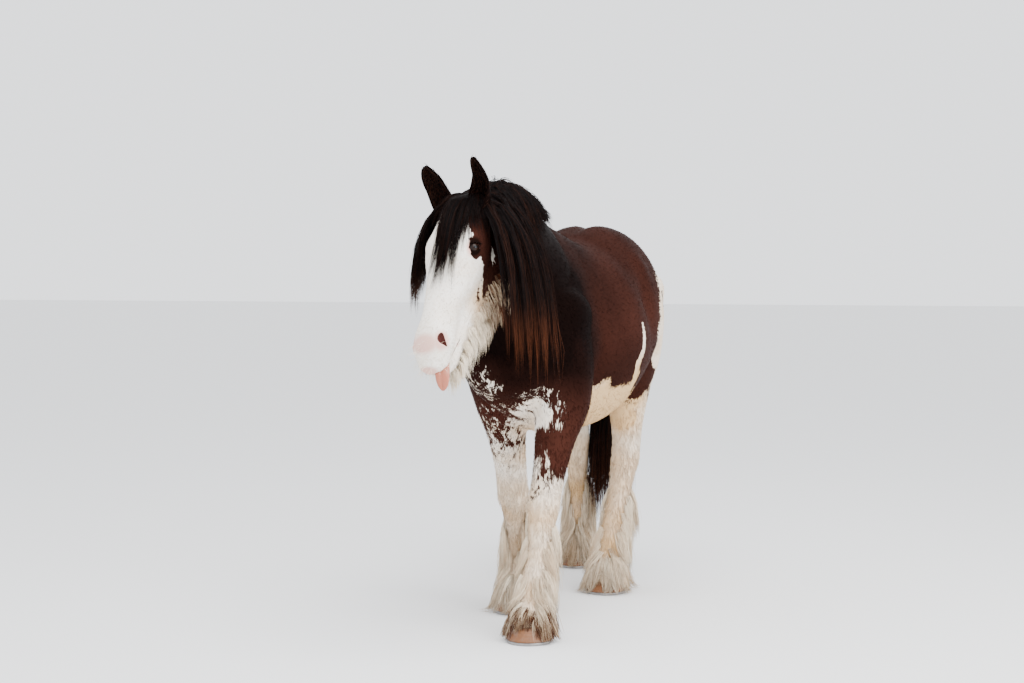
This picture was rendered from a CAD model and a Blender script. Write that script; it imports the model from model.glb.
# %% [markdown]
# # A heavy feathered draught horse
# The horse is seen from its left front, its head turned to its right and its tongue out. The packed
# model already holds every mass of the body. This script lays the looks over it: one skin with its markings,
# a short coat, long hair made of real strands, eyes, hooves and shoes.

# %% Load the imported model
import math
import bmesh
import bpy
import numpy as np
from mathutils import Matrix, Vector
from mathutils.bvhtree import BVHTree


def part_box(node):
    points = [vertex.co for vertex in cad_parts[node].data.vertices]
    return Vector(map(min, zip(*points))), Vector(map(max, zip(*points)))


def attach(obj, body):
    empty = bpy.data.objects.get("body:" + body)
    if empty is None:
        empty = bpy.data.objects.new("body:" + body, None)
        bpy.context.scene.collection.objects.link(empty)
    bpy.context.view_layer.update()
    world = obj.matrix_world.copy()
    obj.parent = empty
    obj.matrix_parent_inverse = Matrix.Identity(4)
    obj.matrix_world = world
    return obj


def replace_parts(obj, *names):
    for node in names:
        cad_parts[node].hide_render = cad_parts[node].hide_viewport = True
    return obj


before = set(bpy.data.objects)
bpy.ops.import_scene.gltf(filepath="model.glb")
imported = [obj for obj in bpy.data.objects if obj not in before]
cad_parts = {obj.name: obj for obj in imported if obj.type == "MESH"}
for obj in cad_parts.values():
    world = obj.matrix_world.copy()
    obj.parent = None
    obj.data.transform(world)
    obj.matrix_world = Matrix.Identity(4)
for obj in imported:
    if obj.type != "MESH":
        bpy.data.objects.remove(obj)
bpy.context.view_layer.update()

# %% [markdown]
# The body is drawn in the horse's own frame, with the withers' middle at x = 0 and the poll where the
# neck puts it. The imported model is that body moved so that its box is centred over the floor's origin.
# The near fore hoof tells how far, so every finished mesh is moved by the same amount.

# %% The move from the horse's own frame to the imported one
HOOF_RADIUS = 0.094
HOOF_OVAL = (0.95, 1.04)
HOOF_BEHIND = 0.004
SOLE_BEHIND = 0.012
CORONET_RADIUS = 0.073
CORONET_HEIGHT = 0.080
CORONET_FALL = 0.24
SHOE_THICKNESS = 0.011
NEAR_FORE_CORONET = Vector((0.120, -0.866, 0.105))

hoof_low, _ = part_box("fore_left_hoof")
own_low = NEAR_FORE_CORONET + Vector(
    (-HOOF_RADIUS * HOOF_OVAL[0], -(HOOF_BEHIND + SOLE_BEHIND) - HOOF_RADIUS * HOOF_OVAL[1], 0.0)
)
SHIFT = Vector((hoof_low.x - own_low.x, hoof_low.y - own_low.y, 0.0))
print("shift", [round(c, 4) for c in SHIFT])

# %% [markdown]
# The camera stands under eight metres off, 1.51 m up, and looks a little down.
# Its place is worked out from the near fore hoof: how far below the horizon the hoof shows gives the
# distance, and how far left or right it shows gives the side step.

# %% The camera
IMAGE_WIDTH, IMAGE_HEIGHT = 1024, 683
FOCAL_PIXELS = 1933.0
HORIZON_PIXEL = 262.0
EYE_HEIGHT = 1.51
VIEW_TURN = 17.0
HOOF_SPOT = Vector((0.120, -0.860, 0.0))
HOOF_PIXEL = (531.0, 643.0)


def linked(name, data):
    """A new object of the scene that shows this data."""
    obj = bpy.data.objects.new(name, data)
    bpy.context.scene.collection.objects.link(obj)
    return obj


def photo_camera():
    turn = math.radians(VIEW_TURN)
    ahead = Vector((-math.sin(turn), math.cos(turn), 0.0))
    right = Vector((ahead.y, -ahead.x, 0.0))
    distance = FOCAL_PIXELS * EYE_HEIGHT / (HOOF_PIXEL[1] - HORIZON_PIXEL)
    aside = (HOOF_PIXEL[0] - IMAGE_WIDTH / 2) / FOCAL_PIXELS * distance
    place = HOOF_SPOT - ahead * distance - right * aside
    place.z = EYE_HEIGHT
    down = math.atan((IMAGE_HEIGHT / 2 - HORIZON_PIXEL) / FOCAL_PIXELS)
    look = ahead * math.cos(down) - Vector((0.0, 0.0, 1.0)) * math.sin(down)
    data = bpy.data.cameras.new("camera")
    data.sensor_width = 36.0
    data.lens = FOCAL_PIXELS / IMAGE_WIDTH * data.sensor_width
    camera = linked("camera", data)
    camera.location = place + SHIFT
    camera.rotation_euler = look.to_track_quat("-Z", "Y").to_euler()
    bpy.context.scene.camera = camera
    return distance


print("camera", round(photo_camera(), 2), "m from the near fore hoof")

# %% [markdown]
# Shader maths reads best as arithmetic. `Value` wraps a socket, so `mask * 0.5 + noise` adds the Math
# nodes by itself, and `Finish` makes every other node from its type, settings and inputs.

# %% Shader helpers
class Value:
    """A socket that takes part in Python arithmetic."""

    def __init__(self, finish, socket):
        self.finish = finish
        self.socket = socket

    def maths(self, operation, one, two):
        return self.finish.node("ShaderNodeMath", {0: one, 1: two}, operation=operation)

    def __add__(self, other):
        return self.maths("ADD", self, other)

    __radd__ = __add__

    def __sub__(self, other):
        return self.maths("SUBTRACT", self, other)

    def __rsub__(self, other):
        return self.maths("SUBTRACT", other, self)

    def __mul__(self, other):
        return self.maths("MULTIPLY", self, other)

    __rmul__ = __mul__

    def step(self, low, high):
        """0 under low, 1 over high, smooth between."""
        values = {0: self, 1: low, 2: high}
        return self.finish.node("ShaderNodeMapRange", values, interpolation_type="SMOOTHSTEP")


class Finish:
    """A material and its Principled shader."""

    def __init__(self, name, roughness=0.6):
        self.material = bpy.data.materials.new(name)
        self.material.use_nodes = True
        self.tree = self.material.node_tree
        self.shader = self.tree.nodes["Principled BSDF"]
        self.shader.inputs["Roughness"].default_value = roughness

    def node(self, kind, values=None, output=0, **settings):
        made = self.tree.nodes.new(kind)
        for key, setting in settings.items():
            setattr(made, key, setting)
        for key, value in (values or {}).items():
            self.feed(made.inputs[key], value)
        return Value(self, made.outputs[output])

    def feed(self, socket, value):
        if isinstance(value, Value):
            self.tree.links.new(value.socket, socket)
        else:
            socket.default_value = value

    def colour(self, share, one, two):
        """Colour one where share is 0, two where it is 1."""
        one = one if isinstance(one, Value) else (*one, 1.0)
        two = two if isinstance(two, Value) else (*two, 1.0)
        return self.node("ShaderNodeMix", {0: share, 6: one, 7: two}, output=2, data_type="RGBA")

    def place(self, scale=(1.0, 1.0, 1.0), turn=(0.0, 0.0, 0.0)):
        spot = self.node("ShaderNodeTexCoord", output=3)
        return self.node("ShaderNodeMapping", {"Vector": spot, "Scale": scale, "Rotation": turn})

    def noise(self, place, scale, detail=2.0, rough=0.5, swirl=0.0):
        values = {"Vector": place, "Scale": scale, "Detail": detail}
        values.update({"Roughness": rough, "Distortion": swirl})
        return self.node("ShaderNodeTexNoise", values)

    def height(self):
        """How high a place is over the floor."""
        spot = self.node("ShaderNodeTexCoord", output=3)
        return self.node("ShaderNodeSeparateXYZ", {0: spot}, output=2)

    def attribute(self, name):
        return self.node("ShaderNodeAttribute", output=2, attribute_name=name)

    def bump(self, height, distance, strength=1.0):
        values = {"Height": height, "Distance": distance, "Strength": strength}
        self.set("Normal", self.node("ShaderNodeBump", values))

    def set(self, name, value):
        self.feed(self.shader.inputs[name], value)


# %% [markdown]
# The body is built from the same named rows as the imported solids: each row is one oval section. Laid
# along their own length and fused by a voxel remesh, they make one skin with no seam. Here the voxels
# are finer, so lids, lips and nostrils come out sharp.

# %% The rows of the trunk, neck and head
POLL = Vector((-0.048, -1.156, 1.730))
HEAD_YAW = 24.0
HEAD_TILT = 24.5
HEAD_ROLL = -7.0

# y, height of the widest line, top, bottom, half width, power of the upper outline
TRUNK = [
    (-0.885, 1.120, 1.165, 1.075, 0.050, 2.0),
    (-0.865, 1.120, 1.260, 1.000, 0.130, 2.0),
    (-0.800, 1.140, 1.400, 0.930, 0.190, 2.0),
    (-0.700, 1.160, 1.520, 0.870, 0.225, 1.9),
    (-0.560, 1.180, 1.635, 0.830, 0.250, 1.7),
    (-0.420, 1.180, 1.682, 0.800, 0.275, 1.55),
    (-0.280, 1.170, 1.665, 0.785, 0.310, 1.6),
    (-0.120, 1.160, 1.625, 0.772, 0.345, 1.8),
    (0.050, 1.160, 1.608, 0.768, 0.365, 2.0),
    (0.200, 1.180, 1.625, 0.790, 0.362, 2.0),
    (0.340, 1.210, 1.662, 0.850, 0.350, 2.1),
    (0.480, 1.240, 1.690, 0.940, 0.340, 2.2),
    (0.620, 1.260, 1.680, 0.990, 0.325, 2.2),
    (0.750, 1.260, 1.632, 1.000, 0.290, 2.1),
    (0.860, 1.240, 1.545, 1.010, 0.232, 2.0),
    (0.935, 1.220, 1.430, 1.050, 0.150, 2.0),
    (0.970, 1.210, 1.300, 1.120, 0.050, 2.0),
]

# Centre x, y, z, half width, reach up to the crest, reach down to the throat, power
NECK = [
    (0.000, -0.340, 1.250, 0.160, 0.280, 0.280, 1.8),
    (0.000, -0.480, 1.300, 0.200, 0.350, 0.345, 1.7),
    (0.000, -0.660, 1.410, 0.192, 0.362, 0.350, 1.7),
    (-0.002, -0.820, 1.530, 0.162, 0.302, 0.290, 1.7),
    (-0.012, -0.940, 1.610, 0.140, 0.230, 0.240, 1.8),
    (-0.028, -1.040, 1.648, 0.122, 0.170, 0.205, 1.9),
    (-0.046, -1.120, 1.654, 0.108, 0.124, 0.175, 2.0),
    (-0.056, -1.175, 1.652, 0.080, 0.080, 0.130, 2.0),
    (-0.058, -1.200, 1.652, 0.040, 0.040, 0.060, 2.0),
]

# The skull in the head's frame: z, y, half width, reach to the front, reach to the back, power
SKULL = [
    (0.030, 0.020, 0.030, 0.025, 0.030, 2.0),
    (0.012, 0.012, 0.082, 0.050, 0.070, 2.0),
    (-0.045, 0.000, 0.106, 0.070, 0.100, 2.1),
    (-0.115, -0.005, 0.116, 0.083, 0.120, 2.3),
    (-0.205, -0.005, 0.118, 0.089, 0.120, 2.4),
    (-0.280, -0.005, 0.106, 0.087, 0.120, 2.4),
    (-0.350, -0.006, 0.090, 0.080, 0.105, 2.3),
    (-0.430, -0.012, 0.076, 0.077, 0.085, 2.2),
    (-0.505, -0.018, 0.072, 0.074, 0.078, 2.2),
    (-0.560, -0.022, 0.078, 0.070, 0.074, 2.3),
    (-0.612, -0.017, 0.078, 0.064, 0.064, 2.3),
    (-0.658, -0.006, 0.067, 0.053, 0.052, 2.1),
    (-0.690, 0.006, 0.047, 0.036, 0.036, 2.0),
    (-0.704, 0.012, 0.026, 0.018, 0.020, 2.0),
]

# The lower jaw in the same frame
JAW = [
    (-0.070, 0.130, 0.035, 0.040, 0.030, 2.0),
    (-0.100, 0.138, 0.065, 0.080, 0.060, 2.0),
    (-0.170, 0.138, 0.092, 0.105, 0.082, 2.2),
    (-0.250, 0.138, 0.098, 0.112, 0.100, 2.3),
    (-0.330, 0.124, 0.086, 0.106, 0.104, 2.2),
    (-0.410, 0.098, 0.070, 0.092, 0.094, 2.1),
    (-0.490, 0.072, 0.060, 0.072, 0.078, 2.1),
    (-0.555, 0.058, 0.056, 0.060, 0.064, 2.1),
    (-0.610, 0.056, 0.056, 0.050, 0.056, 2.0),
    (-0.650, 0.054, 0.049, 0.042, 0.040, 2.0),
    (-0.676, 0.046, 0.026, 0.022, 0.026, 2.0),
]
print("rows", len(TRUNK) + len(NECK) + len(SKULL) + len(JAW))

# %% The joints and sections of the legs
LEG_JOINTS = {
    "fore_left": [
        (0.140, -0.560, 1.300),
        (0.170, -0.600, 0.930),
        (0.130, -0.725, 0.510),
        (0.124, -0.815, 0.220),
        (0.120, -0.866, 0.105),
    ],
    "fore_right": [
        (-0.130, -0.560, 1.300),
        (-0.105, -0.500, 0.930),
        (-0.108, -0.350, 0.520),
        (-0.126, -0.205, 0.225),
        (-0.128, -0.246, 0.105),
    ],
    "hind_left": [
        (0.150, 0.660, 1.400),
        (0.165, 0.600, 1.050),
        (0.155, 0.600, 0.620),
        (0.130, 0.400, 0.220),
        (0.126, 0.348, 0.105),
    ],
    "hind_right": [
        (-0.150, 0.680, 1.400),
        (-0.172, 0.720, 1.030),
        (-0.190, 0.985, 0.640),
        (-0.205, 1.095, 0.225),
        (-0.205, 1.055, 0.105),
    ],
}

# Place along the joints, half width, reach to the front, reach to the back
FORE_SECTIONS = [
    (-0.30, 0.050, 0.070, 0.070),
    (-0.20, 0.100, 0.150, 0.150),
    (0.30, 0.122, 0.210, 0.215),
    (0.70, 0.124, 0.195, 0.215),
    (1.00, 0.112, 0.155, 0.180),
    (1.25, 0.090, 0.120, 0.130),
    (1.50, 0.074, 0.094, 0.096),
    (1.75, 0.067, 0.073, 0.072),
    (1.90, 0.067, 0.070, 0.064),
    (2.00, 0.069, 0.073, 0.064),
    (2.13, 0.060, 0.062, 0.062),
    (2.32, 0.049, 0.050, 0.062),
    (2.70, 0.046, 0.048, 0.062),
    (2.92, 0.056, 0.058, 0.068),
    (3.05, 0.059, 0.058, 0.070),
    (3.40, 0.053, 0.052, 0.060),
    (3.80, 0.062, 0.062, 0.060),
    (4.05, 0.072, 0.076, 0.068),
    (4.60, 0.066, 0.068, 0.062),
]
HIND_SECTIONS = [
    (-0.30, 0.050, 0.090, 0.090),
    (-0.20, 0.110, 0.190, 0.190),
    (0.30, 0.155, 0.280, 0.290),
    (0.70, 0.153, 0.275, 0.280),
    (1.00, 0.138, 0.250, 0.255),
    (1.25, 0.110, 0.185, 0.180),
    (1.50, 0.088, 0.125, 0.128),
    (1.75, 0.072, 0.082, 0.104),
    (1.92, 0.067, 0.068, 0.088),
    (2.05, 0.067, 0.068, 0.082),
    (2.18, 0.060, 0.062, 0.068),
    (2.40, 0.051, 0.053, 0.060),
    (2.75, 0.049, 0.051, 0.060),
    (2.94, 0.058, 0.060, 0.068),
    (3.05, 0.060, 0.062, 0.070),
    (3.40, 0.053, 0.054, 0.060),
    (3.80, 0.062, 0.064, 0.060),
    (4.05, 0.072, 0.076, 0.068),
    (4.60, 0.066, 0.068, 0.062),
]
print("legs", sorted(LEG_JOINTS))

# %% [markdown]
# A section form starts as a UV sphere. Each of its rings is laid round one row, and its two poles close
# the ends, so every mass is one closed form whatever its path.

# %% Forms laid along rows
def head_matrix():
    """From the head's own frame to the horse's."""
    turned = Matrix.Rotation(math.radians(-HEAD_YAW), 4, "Z")
    tilted = Matrix.Rotation(math.radians(-HEAD_TILT), 4, "X")
    rolled = Matrix.Rotation(math.radians(HEAD_ROLL), 4, "Y")
    return Matrix.Translation(POLL) @ turned @ tilted @ rolled


def smooth_rows(rows, count):
    """The rows resampled along their own length, on a cubic curve through each of them."""
    rows = np.array(rows, float)
    steps = np.linalg.norm(np.diff(rows[:, :3], axis=0), axis=1)
    place = np.concatenate([[0.0], np.cumsum(np.maximum(steps, 1e-6))])
    slope = np.gradient(rows, place, axis=0)
    at = np.linspace(0.0, place[-1], count)
    i = np.clip(np.searchsorted(place, at, side="right") - 1, 0, len(place) - 2)
    width = (place[i + 1] - place[i])[:, None]
    t = ((at - place[i])[:, None]) / width
    start, end = 2 * t**3 - 3 * t**2 + 1, 3 * t**2 - 2 * t**3
    leave, arrive = (t**3 - 2 * t**2 + t) * width, (t**3 - t**2) * width
    return start * rows[i] + leave * slope[i] + end * rows[i + 1] + arrive * slope[i + 1]


def outward(form):
    """The faces of a closed form turned to point out of it."""
    bmesh.ops.recalc_face_normals(form, faces=form.faces)
    if form.calc_volume(signed=True) < 0:
        bmesh.ops.reverse_faces(form, faces=form.faces)
    return form


def swept(rows, front, along=24, around=24):
    """A closed form along x, y, z rows with half width, reach to the front, reach to the back and power."""
    rings = smooth_rows(rows, along - 1)
    centres = rings[:, :3]
    path = np.gradient(centres, axis=0)
    made = bmesh.new()
    bmesh.ops.create_uvsphere(made, u_segments=around, v_segments=along, radius=1.0)
    for vert in made.verts:
        height = max(-1.0, min(1.0, vert.co.z))
        k = round(math.acos(height) / math.pi * along) - 1
        ring = min(max(k, 0), along - 2)
        if k != ring:
            vert.co = Vector(centres[ring])
            continue
        x, y, z, side, fore, aft, power = rings[ring]
        tangent = Vector(path[ring]).normalized()
        to_front = (Vector(front) - tangent * tangent.dot(Vector(front))).normalized()
        to_side = to_front.cross(tangent)
        turn = math.atan2(vert.co.y, vert.co.x)
        across = math.copysign(abs(math.cos(turn)) ** (2 / power), math.cos(turn))
        up = math.copysign(abs(math.sin(turn)) ** (2 / power), math.sin(turn))
        reach = fore if up > 0 else aft
        vert.co = Vector((x, y, z)) + to_side * (side * across) + to_front * (reach * up)
    return outward(made)


def leg_form(name):
    joints = [Vector(joint) for joint in LEG_JOINTS[name]]
    rows = []
    for place, side, fore, aft in FORE_SECTIONS if name.startswith("fore") else HIND_SECTIONS:
        i = min(max(int(math.floor(place)), 0), len(joints) - 2)
        rows.append((*joints[i].lerp(joints[i + 1], place - i), side, fore, aft, 2.0))
    return swept(rows, (0, -1, 0.15), along=60, around=32)


def head_form(rows):
    made = swept([(0.0, y, z, *sizes) for z, y, *sizes in rows], (0, -1, 0), along=60, around=48)
    made.transform(head_matrix())
    return made


def flesh_forms():
    trunk = [(0.0, y, mid, half, top - mid, mid - low, power) for y, mid, top, low, half, power in TRUNK]
    forms = [swept(trunk, (0, 0, 1), 60, 64), swept(NECK, (0, 0, 1), 40, 48)]
    forms += [head_form(SKULL), head_form(JAW)]
    return forms + [leg_form(name) for name in LEG_JOINTS]


# %% Small mesh helpers
def mesh_object(form, name):
    """A bmesh as an object of the scene, still in the horse's own frame."""
    mesh = bpy.data.meshes.new(name)
    form.to_mesh(mesh)
    form.free()
    return linked(name, mesh)


def removed(obj):
    mesh = obj.data
    bpy.data.objects.remove(obj)
    bpy.data.meshes.remove(mesh)


def applied(obj):
    """Its modifiers made part of its mesh."""
    graph = bpy.context.evaluated_depsgraph_get()
    mesh = bpy.data.meshes.new_from_object(obj.evaluated_get(graph))
    obj.modifiers.clear()
    old, obj.data = obj.data, mesh
    bpy.data.meshes.remove(old)
    return obj


def boolean(obj, form, operation):
    cutter = mesh_object(form, "cutter")
    modifier = obj.modifiers.new("boolean", "BOOLEAN")
    modifier.operation = operation
    modifier.object = cutter
    modifier.solver = "MANIFOLD"
    applied(obj)
    removed(cutter)


def points_of(mesh):
    points = np.empty(len(mesh.vertices) * 3)
    mesh.vertices.foreach_get("co", points)
    return points.reshape(-1, 3)


def normals_of(mesh):
    normals = np.empty(len(mesh.vertices) * 3)
    mesh.vertex_normals.foreach_get("vector", normals)
    return normals.reshape(-1, 3)


def moved_to(mesh, points):
    mesh.vertices.foreach_set("co", points.ravel())
    mesh.update()


def store(mesh, name, values):
    """A number for each point of a mesh, for its material to read."""
    layer = mesh.attributes.new(name, "FLOAT", "POINT")
    layer.data.foreach_set("value", np.ascontiguousarray(values, dtype=np.float32))


def in_head(points):
    """Places in the head's own frame."""
    back = np.array(head_matrix().inverted())
    return points @ back[:3, :3].T + back[:3, 3]


def head_point(x, y, z):
    return head_matrix() @ Vector((x, y, z))


def head_direction(x, y, z):
    return (head_matrix().to_3x3() @ Vector((x, y, z))).normalized()


# %% [markdown]
# Muscles, hollows and the folds of the face are swellings: each raises or lowers the skin along its own
# normal by a soft bell of a given reach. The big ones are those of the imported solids. The skin then
# sinks by the depth of the short coat that will lie over it.

# %% Muscles, hollows and folds
# x, y, z, reach along x, y, z, height
RELIEF = [
    (0.100, -0.830, 1.060, 0.080, 0.110, 0.120, 0.016),
    (0.220, -0.720, 1.180, 0.120, 0.120, 0.200, 0.018),
    (0.230, -0.520, 1.120, 0.120, 0.130, 0.200, 0.018),
    (0.290, -0.350, 1.060, 0.120, 0.055, 0.220, -0.014),
    (0.180, -0.500, 1.480, 0.120, 0.160, 0.120, 0.012),
    (0.250, 0.350, 1.480, 0.090, 0.070, 0.070, 0.014),
    (0.320, 0.270, 1.330, 0.120, 0.080, 0.120, -0.024),
    (0.320, 0.560, 1.260, 0.120, 0.200, 0.200, 0.008),
    (0.220, 0.430, 1.020, 0.080, 0.080, 0.090, 0.010),
    (0.110, 0.950, 1.230, 0.080, 0.120, 0.180, 0.018),
    (0.140, -0.950, 1.560, 0.100, 0.160, 0.070, 0.012),
]

# The same in the head's frame
HEAD_RELIEF = [
    (0.120, -0.040, -0.200, 0.050, 0.050, 0.044, 0.014),
    (0.070, -0.050, -0.115, 0.030, 0.035, 0.040, -0.008),
    (0.100, 0.060, -0.220, 0.040, 0.060, 0.080, 0.008),
    (0.092, -0.010, -0.330, 0.030, 0.025, 0.080, 0.006),
    (0.075, 0.030, -0.440, 0.040, 0.040, 0.070, -0.008),
    (0.060, -0.045, -0.500, 0.030, 0.040, 0.050, -0.005),
    (0.068, -0.042, -0.600, 0.034, 0.036, 0.040, 0.009),
    (0.050, 0.040, -0.680, 0.040, 0.040, 0.030, 0.006),
]

# Only in the render: the rim of the nostril, the crease over it, the lips and the bone under the eye
FACE_FOLDS = [
    (0.078, -0.052, -0.612, 0.010, 0.010, 0.022, 0.0045),
    (0.080, -0.024, -0.592, 0.010, 0.008, 0.022, 0.0035),
    (0.066, -0.020, -0.560, 0.020, 0.010, 0.018, -0.0030),
    (0.034, -0.030, -0.690, 0.030, 0.018, 0.012, 0.0040),
    (0.050, 0.020, -0.640, 0.012, 0.010, 0.030, 0.0030),
    (0.096, -0.060, -0.262, 0.014, 0.018, 0.030, 0.0035),
    (0.092, 0.020, -0.300, 0.020, 0.012, 0.080, 0.0030),
]

# Grooves on the midline of the trunk: y, z, reach, depth
MIDLINE = [
    (0.380, 1.690, 0.140, -0.010),
    (0.560, 1.700, 0.140, -0.020),
    (0.740, 1.660, 0.140, -0.020),
    (-0.880, 1.060, 0.140, -0.012),
]
MIDLINE_HALF_WIDTH = 0.035
COAT_DEPTH = 0.004
SKIN_VOXEL = 0.0058
SKIN_SMOOTHING = 14
SKIN_SHARE = 0.50


def swellings(points, rows):
    height = np.zeros(len(points))
    for x, y, z, reach_x, reach_y, reach_z, rise in rows:
        for side in (1, -1):
            away = (points - (side * x, y, z)) / (reach_x, reach_y, reach_z)
            height += rise * np.exp(-(away**2).sum(axis=1))
    return height


def midline_groove(points):
    height = np.zeros(len(points))
    for y, z, reach, depth in MIDLINE:
        away = ((points[:, 1:] - (y, z)) ** 2).sum(axis=1) / reach**2
        height += depth * np.exp(-away - (points[:, 0] / MIDLINE_HALF_WIDTH) ** 2)
    return height


def fused_skin():
    whole = bmesh.new()
    for form in flesh_forms():
        mass = bpy.data.meshes.new("mass")
        form.to_mesh(mass)
        form.free()
        whole.from_mesh(mass)
        bpy.data.meshes.remove(mass)
    skin = mesh_object(whole, "skin")
    remesh = skin.modifiers.new("fuse", "REMESH")
    remesh.mode = "VOXEL"
    remesh.voxel_size = SKIN_VOXEL
    soften = skin.modifiers.new("soften", "SMOOTH")
    soften.factor = 0.5
    soften.iterations = SKIN_SMOOTHING
    applied(skin)
    points, normals = points_of(skin.data), normals_of(skin.data)
    height = swellings(points, RELIEF) + midline_groove(points)
    height += swellings(in_head(points), HEAD_RELIEF + FACE_FOLDS) - COAT_DEPTH
    moved_to(skin.data, points + normals * height[:, None])
    return skin


skin = fused_skin()
print("skin", len(skin.data.polygons), "faces before thinning")

# %% [markdown]
# Most of the skin is smooth and can be thinned, but not the head. A vertex group tells the Decimate
# modifier where triangles may grow.

# %% Thin the trunk and the legs
def thin_skin():
    group = skin.vertex_groups.new(name="thin")
    local = in_head(points_of(skin.data))
    on_head = (local[:, 1] < 0.20) & (local[:, 2] > -0.75) & (local[:, 2] < 0.05)
    for share, chosen in ((0.12, on_head), (1.0, ~on_head)):
        group.add(np.nonzero(chosen)[0].tolist(), share, "REPLACE")
    fewer = skin.modifiers.new("fewer", "DECIMATE")
    fewer.ratio = SKIN_SHARE
    fewer.vertex_group = "thin"
    fewer.vertex_group_factor = 1.0
    applied(skin)


thin_skin()
print("skin", len(skin.data.polygons), "faces")

# %% [markdown]
# The eye sits on the side of the head under a bony rim. Lids are a thin shell a little larger than the
# eyeball, joined to the skin and then opened by an almond-shaped cutter.

# %% Lids, nostrils and the line of the mouth
EYE_PLACE = Vector((0.1025, -0.028, -0.212))
EYE_AXIS = Vector((0.90, -0.42, -0.04))
EYE_SLANT = 20.0
EYE_RADIUS = 0.0245
EYE_OPENING = (0.0245, 0.0145)
LID_THICKNESS = 0.0045
NOSTRIL_PLACE = Vector((0.064, -0.054, -0.597))
NOSTRIL_SIZE = (0.022, 0.0120, 0.029)
NOSTRIL_LEAN = 38.0
NOSTRIL_TURN = -28.0
MOUTH_CORNER = Vector((0.060, 0.055, -0.565))
MOUTH_FRONT = Vector((0.0, 0.008, -0.705))
MOUTH_STEPS = 24
MOUTH_REACH = 105.0
LIP_GAP = 0.0045


def eye_frame(side):
    """A frame at the eye: z looks out of the head, x along the opening, y across it."""
    out = Vector((EYE_AXIS.x * side, EYE_AXIS.y, EYE_AXIS.z)).normalized()
    slant = math.radians(EYE_SLANT)
    along = Vector((0.0, math.cos(slant), math.sin(slant)))
    along = (along - out * along.dot(out)).normalized()
    matrix = Matrix((along, out.cross(along), out)).transposed().to_4x4()
    centre = Vector((EYE_PLACE.x * side, EYE_PLACE.y, EYE_PLACE.z))
    return head_matrix() @ Matrix.Translation(centre) @ matrix


def eyeball(side, radius):
    made = bmesh.new()
    bmesh.ops.create_uvsphere(made, u_segments=48, v_segments=32, radius=radius)
    made.transform(eye_frame(side))
    return outward(made)


def eye_opening(side):
    """The almond between the lids."""
    made = bmesh.new()
    bmesh.ops.create_cone(made, cap_ends=True, segments=48, radius1=1.0, radius2=1.0, depth=1.0)
    wide, high = EYE_OPENING
    for vert in made.verts:
        flare = 1.0 + 0.25 * (vert.co.z + 0.5)
        across = math.copysign(abs(vert.co.y) ** 1.25, vert.co.y)
        vert.co = (vert.co.x * wide * flare, across * high * flare, vert.co.z * 0.05 + 0.026)
    made.transform(eye_frame(side))
    return outward(made)


def nostril(side):
    """A comma-shaped hollow: a flat ball bent along its length."""
    made = bmesh.new()
    bmesh.ops.create_uvsphere(made, u_segments=32, v_segments=20, radius=1.0)
    deep, wide, long = NOSTRIL_SIZE
    for vert in made.verts:
        t = vert.co.z
        across = vert.co.y * wide * (1.15 + 0.45 * t) + 0.010 * t**2
        vert.co = (vert.co.x * deep, across, t * long)
    lean = Matrix.Rotation(math.radians(NOSTRIL_LEAN), 4, "X")
    turn = Matrix.Rotation(math.radians(NOSTRIL_TURN), 4, "Z")
    place = Matrix.Translation(NOSTRIL_PLACE)
    made.transform(head_matrix() @ Matrix.Diagonal((side, 1.0, 1.0, 1.0)) @ place @ turn @ lean)
    return outward(made)


def mouth_line(guide):
    """A thin groove laid round the muzzle from corner to corner."""
    origin = head_matrix() @ Vector((0.0, MOUTH_CORNER.y, MOUTH_CORNER.z + 0.012))
    forward = (MOUTH_FRONT - Vector((0.0, MOUTH_CORNER.y, MOUTH_CORNER.z))).normalized()
    rows = []
    for i in range(MOUTH_STEPS + 1):
        turn = math.radians(MOUTH_REACH) * (2 * i / MOUTH_STEPS - 1)
        way = head_matrix().to_3x3() @ (forward * math.cos(turn) + Vector((math.sin(turn), 0.0, 0.0)))
        hit = guide.ray_cast(origin, way)[0]
        depth = 0.012 if 0 < i < MOUTH_STEPS else 0.004
        rows.append((*hit, depth, LIP_GAP / 2, LIP_GAP / 2, 2.0))
    normal = head_matrix().to_3x3() @ forward.cross(Vector((1.0, 0.0, 0.0)))
    return swept(rows, normal, along=48, around=12)


def tree_of(obj):
    form = bmesh.new()
    form.from_mesh(obj.data)
    made = BVHTree.FromBMesh(form)
    form.free()
    return made


def cut_face(guide):
    for side in (1, -1):
        boolean(skin, eyeball(side, EYE_RADIUS + LID_THICKNESS), "UNION")
        boolean(skin, eye_opening(side), "DIFFERENCE")
        boolean(skin, eyeball(side, EYE_RADIUS + 0.0004), "DIFFERENCE")
        boolean(skin, nostril(side), "DIFFERENCE")
    boolean(skin, mouth_line(guide), "DIFFERENCE")


uncut_tree = tree_of(skin)
cut_face(uncut_tree)
print("face cut,", len(skin.data.polygons), "faces")

# %% Soften the cut rims
RIM_ROUNDS = 3


def soften_rims():
    """The rims of the lids, nostrils and lips rounded as skin is."""
    form = bmesh.new()
    form.from_mesh(skin.data)
    bmesh.ops.remove_doubles(form, verts=form.verts, dist=0.0002)
    local = in_head(np.array([vert.co for vert in form.verts]))
    near = np.zeros(len(local), bool)
    for side in (1, -1):
        for place, reach in ((EYE_PLACE, 0.040), (NOSTRIL_PLACE, 0.036), (MOUTH_CORNER, 0.03)):
            near |= np.linalg.norm(local - (place.x * side, place.y, place.z), axis=1) < reach
    lips = (local[:, 2] < -0.55) & (np.abs(local[:, 1] - 0.03) < 0.06)
    chosen = [vert for vert, yes in zip(form.verts, near | lips) if yes]
    axes = {"use_axis_x": True, "use_axis_y": True, "use_axis_z": True}
    for _ in range(RIM_ROUNDS):
        bmesh.ops.smooth_vert(form, verts=chosen, factor=0.5, **axes)
    form.to_mesh(skin.data)
    form.free()
    skin.data.shade_smooth()


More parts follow.
